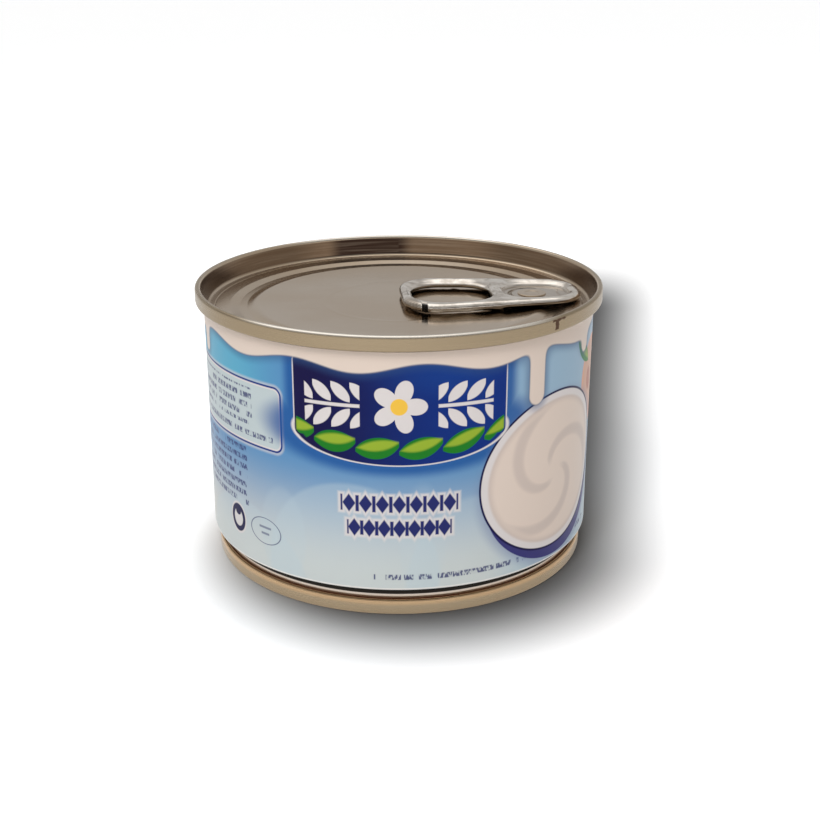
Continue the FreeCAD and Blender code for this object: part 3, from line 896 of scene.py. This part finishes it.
# %% Tinplate of the lid and the base
TIN = flat(188, 171, 150)
TIN_WARM = flat(180, 158, 132)
SEAM_TIN = flat(156, 139, 114)
FOOT_TIN = flat(176, 157, 130)
FOOT_HIGHLIGHT_GOLD = flat(204, 172, 134)
CREST_HIGHLIGHT_TIN = flat(226, 218, 206)
CHUCK_REFLECTION_BROWN = flat(115, 92, 71)
CHUCK_REFLECTION_DARK = flat(44, 22, 14)
CHUCK_MIDDLE = -6.0
LID_SEAM_START = 37.2
BASE_SEAM_START = 34.6
SOOT = flat(70, 40, 24)
SHADE_BLACK = flat(14, 11, 9)


def tinplate(name, seam_start, seam_tint, marks):
    """Lacquered tinplate. Rolling lines run straight on flat panels, and round on seams.
    Marks are small stains on the outside of a seam: (angle in degrees, height, half width,
    half height)."""
    material, shader, place = new_material(name)
    across, along, up = parts_of(place)
    radius, arc = round_the_axis(across, along)
    on_seam = radius.between(seam_start, seam_start + 0.3)
    straight = noise(place, (0.06, 2.6, 1.0))
    circular = noise(joined(arc, 0.0, up), (0.05, 1.0, 2.2))
    lines = straight + on_seam * (circular - straight)
    clouds = noise(place, (0.05, 0.07, 0.1))
    colour = blend(clouds.between(0.35, 0.65, 0.0, 0.55), TIN, TIN_WARM)
    colour = blend(on_seam, colour, seam_tint)
    # painted highlight: the seam's crest is lighter at the front and at the back
    crest_highlight = along.falls(-32.0, -25.0) + along.between(28.0, 34.0)
    crest_highlight = crest_highlight * up.between(HEIGHT - 0.4, HEIGHT - 0.15)
    colour = blend(crest_highlight, colour, CREST_HIGHLIGHT_TIN)
    # painted highlight: the upper part of the foot seam is lighter and more golden
    foot_seam_highlight = on_seam * up.between(1.6, 2.4) * up.falls(5.0, 6.0)
    colour = blend(foot_seam_highlight, colour, FOOT_HIGHLIGHT_GOLD)
    # painted reflection: the chuck wall is brown, and darkest in the middle of its far side
    chuck = radius.between(CHUCK_FOOT - 0.5, CHUCK_FOOT - 0.1)
    chuck = chuck * radius.falls(LID_SEAM_START, LID_SEAM_START + 0.15)
    chuck = chuck * up.between(LAND + 0.15, LAND + 0.6)
    chuck = chuck * up.falls(HEIGHT - 0.6, HEIGHT - 0.35)
    off_middle = abs(across - CHUCK_MIDDLE) + along.between(-5.0, 5.0, 40.0, 0.0)
    chuck_reflection = blend(off_middle.between(6.0, 9.5), CHUCK_REFLECTION_DARK, CHUCK_REFLECTION_BROWN)
    colour = blend(chuck * circular.between(0.3, 0.6, 0.8, 0.97), colour, chuck_reflection)
    stain = 0.0
    for turn, height, half_width, half_height in marks:
        sideways = abs(arc - math.radians(turn) * WALL_RADIUS)
        upright = abs(up - height)
        ragged = (noise(place, (2.0, 2.0, 2.0), 2.0) - 0.5) * 0.5
        off = (sideways - half_width).at_least(upright - half_height) + ragged
        stain = off.falls(-0.15, 0.12) * radius.between(36.7, 37.2) + stain
    colour = blend(stain.at_most(0.9), colour, SOOT)
    feed(shader.inputs["Metallic"], 1.0 - stain.at_most(0.85))
    feed(shader.inputs["Base Color"], colour)
    duller_rings = radius.between(GROOVE_START - 0.5, GROOVE_START + 2.0, 0.0, 0.1)
    feed(shader.inputs["Roughness"], 0.1 + 0.06 * lines + duller_rings + on_seam * 0.1 * lines)
    tilt(shader, lines * (0.3 + 0.7 * on_seam), 0.012)
    return material


TOP_MARKS = [(44.7, 50.5, 0.42, 0.85), (45.6, 51.35, 1.7, 0.2)]
FOOT_MARKS = [(36.6, 2.2, 0.35, 0.22)]
lid.data.materials.append(tinplate("lid_tinplate", LID_SEAM_START, SEAM_TIN, TOP_MARKS))
rivet.data.materials.append(lid.data.materials[0])
base.data.materials.append(tinplate("base_tinplate", BASE_SEAM_START, FOOT_TIN, FOOT_MARKS))

# %% Steel of the pull tab
STEEL = flat(224, 216, 206)
STEEL_DULL_AND_SHADE = flat(160, 148, 134)
STEEL_LIP_HIGHLIGHT = flat(236, 228, 214)


def tab_steel():
    """Bright tinned strip with fine lines, dull patches and a dull heel corner. Painted shade
    darkens it low down, over the sunk web and under the curls, and makes the inside of the gap
    where the curl's ends meet black. The lip under the near rim gets a painted highlight: it
    is lighter, less metallic and matt."""
    material, shader, place = new_material("tab_steel")
    across, along, up = parts_of(place)
    lines = noise(place, (0.25, 4.0, 4.0))
    clouds = noise(place, (0.35, 0.5, 0.6))
    u, v = swung(across - TAB_HEEL[0], along - TAB_HEEL[1], -TAB_TURN)
    # painted shade: the tab is darker low down, over the sunk web and under the curls
    low = up.between(TAB_UNDER + 0.6, TAB_UNDER + 1.4, 0.85, 0.0)
    heel = u.between(2.2, 3.4, 0.9, 0.0) * v.falls(-6.0, -3.0)
    dull_and_shade = clouds.between(0.4, 0.7, 0.0, 0.6).at_least(low).at_least(heel)
    colour = blend(dull_and_shade, STEEL, STEEL_DULL_AND_SHADE)
    # painted shade: the inside of the gap where the curl's ends meet is black and not metallic
    off_gap = abs(u - GAP_ALONG)
    gap = off_gap.falls(GAP_WIDTH / 2 - 0.05, GAP_WIDTH / 2 + 0.05)
    gap = gap * v.falls(-8.6, -8.3)
    gap = gap * up.falls(TAB_UNDER + TAB_HEIGHT - 0.2, TAB_UNDER + TAB_HEIGHT - 0.1)
    # painted highlight on the lip under the near rim: lighter and less metallic, on rougher
    # metal
    lip_highlight = u.between(4.4, 4.9) * u.falls(12.5, 15.0) * v.falls(-9.1, -8.7)
    lip_highlight = lip_highlight * up.falls(TAB_UNDER + 0.5, TAB_UNDER + 1.0) * (1.0 - gap)
    colour = blend(lip_highlight, colour, STEEL_LIP_HIGHLIGHT)
    feed(shader.inputs["Base Color"], blend(gap, colour, SHADE_BLACK))
    feed(shader.inputs["Metallic"], 1.0 - gap.at_least(lip_highlight * 0.7))
    feed(shader.inputs["Roughness"], 0.1 + 0.14 * lines + 0.3 * lip_highlight + 0.2 * heel)
    tilt(shader, lines, 0.01)
    return material


tab.data.materials.append(tab_steel())

# %% [markdown]
# ## The print
#
# A can is printed flat, and the sheet is rolled up afterwards. The drawing works the same
# way: a place on the wall has a distance s along it from the middle of the front and a height
# z, both in millimetres, and every shape is a distance on that flat sheet. Ink is laid where
# the distance is negative, with a thin soft edge. An image texture is the usual way to bring
# in a label. Shapes from distances stay sharp at any size, and can be changed one by one.

# %% A flat sheet to draw on
class Sheet:
    """A flat drawing: its shapes are distances, and ink changes its colour inside them."""

    def __init__(self, s, z):
        self.s, self.z = s, z
        self.place = joined(s, z, 0.0)
        self.colour = PAPER

    def seen_from(self, centre, half=(1.0, 1.0), turn=0.0, place=None):
        """Places measured from a centre, turned back, and in units of the half sizes."""
        turned_by = (0.0, 0.0, math.radians(turn))
        return Varying(add_node("Mapping", place or self.place, (*centre, 0.0), turned_by,
                                (*half, 1.0), vector_type="TEXTURE").outputs[0])

    def oval(self, centre, half, turn=0.0):
        """Distance to an oval."""
        reach = vector_sum("LENGTH", self.seen_from(centre, half, turn))
        return (reach - 1.0) * min(half)

    def block(self, centre, half, corner):
        """Distance to a rounded block. It is not less than minus the corner radius."""
        over = vector_sum("ABSOLUTE", self.seen_from(centre))
        over = vector_sum("SUBTRACT", over, (half[0] - corner, half[1] - corner, 0.0))
        over = vector_sum("MAXIMUM", over, (0.0, 0.0, 0.0))
        return vector_sum("LENGTH", over) - corner

    def almond(self, centre, half, turn=0.0, place=None):
        """Distance to a leaf shape, where two equal discs overlap."""
        long, wide = half
        radius = (long ** 2 + wide ** 2) / (2 * wide)
        u, v, _ = parts_of(self.seen_from(centre, turn=turn, place=place))
        v = abs(v) + (radius - wide)
        return (u * u + v * v).then("SQRT") - radius

    def ink(self, distance, colour, share=1.0, soft=0.09):
        """Lay a colour wherever the distance is negative."""
        inside = distance.between(-soft, soft, share, 0.0)
        self.colour = blend(inside, self.colour, colour)

    def line(self, distance, width, colour, share=1.0, soft=0.09):
        """Lay a line of the given width just inside a shape's edge."""
        middle = abs(distance + width / 2) - width / 2
        self.ink(middle, colour, share, soft)


# %% Colours of the print
CREAM = flat(221, 204, 191)
CREAM_SHADE = flat(199, 183, 174)
PAPER = flat(205, 206, 200)
PALE_BLUE = flat(166, 190, 204)
DISC_BLUE = flat(184, 202, 210)
MID_BLUE = flat(86, 138, 184)
TURQUOISE = flat(88, 166, 196)
DEEP_BLUE = flat(16, 78, 148)
NAVY = flat(10, 4, 62)
NAVY_BLUE = flat(0, 42, 120)
INK_BLUE = flat(34, 40, 100)
PURPLE = flat(52, 50, 112)
WHITE = flat(216, 209, 207)
PANEL_GREY = flat(188, 199, 201)
GREEN = flat(24, 118, 30)
LIME = flat(146, 172, 48)
YELLOW = flat(238, 190, 70)
PEACH = flat(224, 158, 126)
PEACH_PALE = flat(198, 158, 134)
STONE_BROWN = flat(176, 104, 84)
SOFT_PURPLE = flat(120, 132, 168)
GLEAM_BLUE = flat(20, 72, 150)
SHADOW_BLUE = flat(44, 74, 122)
SHADOW_GREY = flat(92, 104, 126)
PRINT_EDGE_HIGHLIGHT = flat(234, 231, 226)
NECK_HIGHLIGHT_TIN = flat(222, 208, 194)
CREASE_SHADE_BROWN = flat(134, 82, 56)
HALF_WAY = math.pi * WALL_RADIUS

# %% [markdown]
# The drawing is built from the back forwards: the blue ground, the soft discs, the small
# print, the plaque's glow, the dish, the plaque, the cream that runs down from the top, and
# last the rows of ornament. It is printed twice round the can.

# %% Ground, soft discs and small print
ROW_PITCH = 1.74


def draw_ground(sheet):
    """Blue that pales towards the foot, turquoise at the upper left and paler on the right.
    Both tints fade out where the two printings meet."""
    s, z = sheet.s, sheet.z
    colour = blend(z.between(7.0, 31.0), PAPER, MID_BLUE)
    left = s.between(-HALF_WAY / 2, -49.0) * s.falls(-34.0, -18.0)
    colour = blend(left * z.between(27.0, 39.0), colour, TURQUOISE)
    right = s.between(14.0, 26.0) * s.falls(48.0, 57.0)
    sheet.colour = blend(right * 0.75, colour, PALE_BLUE)
    for centre, half, share in (
        ((-9, 8), (16, 17), 0.34), ((13, 4), (12, 18), 0.3), ((-33, 0), (17, 17), 0.3),
        ((-22, 13), (5, 9), 0.22), ((4, 14), (4, 11), 0.16),
    ):
        sheet.ink(sheet.oval(centre, half), DISC_BLUE, share, soft=0.5)


def draw_small_print(sheet):
    """A pale panel and lines of dashes, as small print looks from some way off. Rows come
    from the height, words and strokes from noise along them."""
    s, z = sheet.s, sheet.z
    panel = sheet.block((-36.6, 34.4), (15.0, 5.7), 1.3)
    sheet.ink(panel - 0.75, WHITE, 0.55, soft=0.3)
    sheet.ink(panel - 0.35, NAVY_BLUE)
    sheet.ink(panel, WHITE)
    sheet.ink(panel + 0.3, PANEL_GREY)
    row = z * (1 / ROW_PITCH)
    within_row = abs(row.then("FRACT") - 0.5)
    words = noise(joined(s, row.then("FLOOR") * 7.3, 0.0), (0.5, 1.0, 1.0), 1.0)
    strokes = noise(sheet.place, (2.6, 1.0, 1.0), 1.0)
    dashes = words.between(0.40, 0.44) * strokes.between(0.40, 0.56, 0.1, 1.0)
    dashes = dashes * within_row.falls(0.22, 0.36)
    area, *others = [sheet.block(centre, half, 0.1) for centre, half in (
        ((-39.5, 35.5), (11.0, 3.5)), ((-37.0, 30.7), (13.6, 0.8)),
        ((-40.0, 21.8), (9.5, 6.2)), ((21.0, 7.85), (25.5, 0.9)),
    )]
    for other in others:
        area = area.at_most(other)
    dashes = dashes * area.between(-0.05, 0.05, 0.85, 0.0)
    sheet.colour = blend(dashes, sheet.colour, INK_BLUE)
    ring = sheet.oval((-34.2, 12.6), (2.3, 2.7))
    sheet.ink(ring - 0.35, WHITE, 0.8)
    sheet.line(ring, 0.85, NAVY)
    sheet.ink(sheet.oval((-34.2, 13.9), (0.9, 0.8)), NAVY)
    oval = sheet.oval((-26.2, 12.5), (3.9, 2.6))
    sheet.line(oval, 0.16, INK_BLUE, 0.75, soft=0.05)
    for height, reach in ((13.2, 1.5), (12.0, 1.0)):
        sheet.ink(sheet.block((-26.2, height), (reach, 0.22), 0.1), INK_BLUE, 0.6)


# %% Fruit and the dish of cream
def draw_dish(sheet):
    """A dish of whisked cream, seen from above, with a halved fruit behind it."""
    for place, half, colour, share, soft in (
        ((49.0, 35.0), (7.6, 8.6), PEACH, 1.0, 0.09),
        ((47.6, 36.2), (5.6, 6.6), PEACH_PALE, 0.8, 1.2),
        ((46.6, 35.6), (1.7, 2.3), STONE_BROWN, 1.0, 0.3),
    ):
        sheet.ink(sheet.oval(place, half, 12.0), colour, share, soft)
    sheet.ink(sheet.almond((42.2, 42.0), (4.4, 1.5), -38.0), GREEN)
    sheet.ink(sheet.almond((42.5, 42.2), (3.9, 0.7), -38.0), LIME, 0.8, soft=0.3)
    centre = (31.4, 22.8)
    sheet.ink(sheet.oval((32.2, 21.2), (18.4, 16.2)), SOFT_PURPLE, 0.6, soft=1.4)
    sheet.ink(sheet.oval((32.2, 20.4), (17.0, 14.4)), PURPLE)
    sheet.ink(sheet.oval(centre, (17.4, 15.0)), NAVY)
    sheet.ink(sheet.oval(centre, (17.0, 14.6)), WHITE)
    cream = sheet.oval(centre, (15.6, 13.4))
    sheet.ink(cream, CREAM_SHADE, soft=0.3)
    sheet.ink(cream + 0.5, CREAM, soft=0.9)
    u, v, _ = parts_of(sheet.seen_from(centre, (15.6, 13.4)))
    reach = (u * u + v * v).then("SQRT")
    whirl = v.then("ARCTAN2", u) * 3.0 + reach * 9.0
    ridge = whirl.then("SINE").between(0.45, 1.0, 0.0, 0.75) * reach.between(0.08, 0.25)
    ridge = ridge * reach.falls(0.86, 0.98)
    sheet.colour = blend(ridge, sheet.colour, CREAM_SHADE)


# %% The plaque
def plaque_shape(sheet):
    """Distance to a rounded block with a bowed foot."""
    block = sheet.block((0.2, 40.0), (18.7, 7.2), 1.2)
    return block.at_most(sheet.oval((0.2, 34.4), (18.7, 5.6)))


def draw_plaque(sheet, plaque):
    """A dark blue plaque with a white flower, two ears of corn and a garland of leaves."""
    s, z = sheet.s, sheet.z
    sheet.ink(plaque - 0.22, WHITE)
    sheet.ink(plaque, blend(s.between(-16.0, 12.0), NAVY, NAVY_BLUE))
    sheet.ink(sheet.oval((7.0, 45.0), (9.0, 3.4)), GLEAM_BLUE, 0.3, soft=2.6)
    mirrored = abs(s)
    upright = abs(z - 39.2)
    grain = joined((mirrored - 6.6).then("WRAP", 1.65, -1.65), upright, 0.0)
    ear = sheet.almond((0.0, 2.3), (2.5, 1.0), 44.0, grain).at_most(upright - 0.3)
    ear = ear.at_least(abs(mirrored - 11.5) - 4.9)
    sheet.ink(ear, WHITE)
    u, v, _ = parts_of(sheet.seen_from((0.0, 39.2)))
    petal = abs((v.then("ARCTAN2", u) * 2.5).then("COSINE"))
    reach = (u * u + v * v).then("SQRT")
    sheet.ink(reach - petal * 2.5 - 2.3, WHITE)
    sheet.ink(reach - 1.45, YELLOW)
    height = z - s * s * 0.0075
    along = joined((s + 3.7).then("WRAP", 3.7, -3.7), height, 0.0)
    inside = plaque + 0.35
    for centre, half, colour, soft in (((0.0, 31.7), (4.0, 1.9), GREEN, 0.09),
                                       ((0.2, 32.2), (3.6, 0.9), LIME, 0.3)):
        leaf = sheet.almond(centre, half, 12.0, along).at_least(inside)
        sheet.ink(leaf, colour, soft=soft)


# %% Cream from the top, and rows of ornament
SCALLOP_PITCH = 23.0


def draw_cream(sheet):
    """A cream border whose scalloped lower edge has run down in three drips."""
    s, z = sheet.s, sheet.z
    edge = (s * (2 * math.pi / SCALLOP_PITCH) + 0.4).then("SINE") * 0.85 + 45.7 - z
    for centre, half in (((-46.0, 44.0), (1.5, 2.6)), ((25.8, 42.6), (1.9, 6.2)),
                         ((42.0, 44.6), (1.6, 2.6))):
        edge = edge.then("SMOOTH_MIN", sheet.block(centre, half, half[0]), 3.2)
    sheet.ink(edge - 0.8, SHADOW_BLUE, 0.55, soft=1.1)
    sheet.ink(edge - 0.1, SHADOW_GREY, 0.7, soft=0.2)
    sheet.ink(edge + 0.1, CREAM, soft=0.2)


def draw_rows(sheet):
    """Two rows of small lozenges between bars, dark blue on a white glow."""
    s, z = sheet.s, sheet.z
    rows = []
    for height, pitch, reach, tall in ((21.6, 2.9, 10.2, 1.5), (17.1, 2.6, 9.1, 1.35)):
        upright = abs(z - height)
        cell = abs(s.then("WRAP", pitch / 2, -pitch / 2))
        lozenge = cell * 0.82 + upright * 0.57 - 0.95
        bar = (cell * -1.0 + (pitch / 2 - 0.3)).at_least(upright - tall)
        rows.append(lozenge.at_most(bar).at_least(abs(s) - reach))
    marks = rows[0].at_most(rows[1])
    sheet.ink(marks - 0.45, WHITE, 0.9, soft=0.3)
    sheet.ink(marks, INK_BLUE, soft=0.12)


# %% The wall's material
def printed_wall():
    """Varnished print over tinplate, which is bare at the neck and along the weld."""
    material, shader, place = new_material("varnished_print")
    across, along, up = parts_of(place)
    _, arc = round_the_axis(across, along)
    s = arc.then("WRAP", HALF_WAY / 2, -HALF_WAY / 2)
    sheet = Sheet(s, up)
    draw_ground(sheet)
    draw_small_print(sheet)
    plaque = plaque_shape(sheet)
    sheet.ink(plaque - 1.9, DEEP_BLUE, 0.85, soft=1.1)
    draw_dish(sheet)
    draw_plaque(sheet, plaque)
    draw_cream(sheet)
    draw_rows(sheet)
    # painted highlight: a thin light line along the print's lower edge, at the shoulder
    sheet.ink(abs(up - 5.5) - 0.22, PRINT_EDGE_HIGHLIGHT, 0.8)
    weld = abs(arc - WELD_ANGLE * WALL_RADIUS)
    bare = weld.falls(1.9, 2.05).at_least(up.falls(5.12, 5.2))
    grain = noise(joined(arc, up, 0.0), (0.08, 2.4, 1.0))
    metal = blend(grain.between(0.3, 0.7), TIN, TIN_WARM)
    # painted highlight: the neck below the shadowed hollow is paler
    metal = blend(up.falls(3.75, 3.85), metal, NECK_HIGHLIGHT_TIN)
    # painted shade: the crease just above the foot seam is reddish brown and not metallic
    crease = up.falls(2.92, 3.0)
    metal = blend(crease, metal, CREASE_SHADE_BROWN)
    # painted shade: the neck is nearly black and hardly metallic under the shoulder
    shade_under_shoulder = up.between(3.62, 3.76) * up.falls(5.1, 5.2)
    metal = blend(shade_under_shoulder * 0.97, metal, SHADE_BLACK)
    feed(shader.inputs["Base Color"], blend(bare, sheet.colour, metal))
    feed(shader.inputs["Metallic"], bare * (1.0 - shade_under_shoulder * 0.9 - crease * 0.9))
    mottle = noise(place, (0.9, 0.9, 0.9), 2.0)
    feed(shader.inputs["Roughness"], 0.26 + 0.12 * mottle)
    feed(shader.inputs["Coat Weight"], 0.06)
    feed(shader.inputs["Coat Roughness"], 0.12)
    return material


wall.data.materials.append(printed_wall())
print("nodes in the print:", len(wall.data.materials[0].node_tree.nodes))
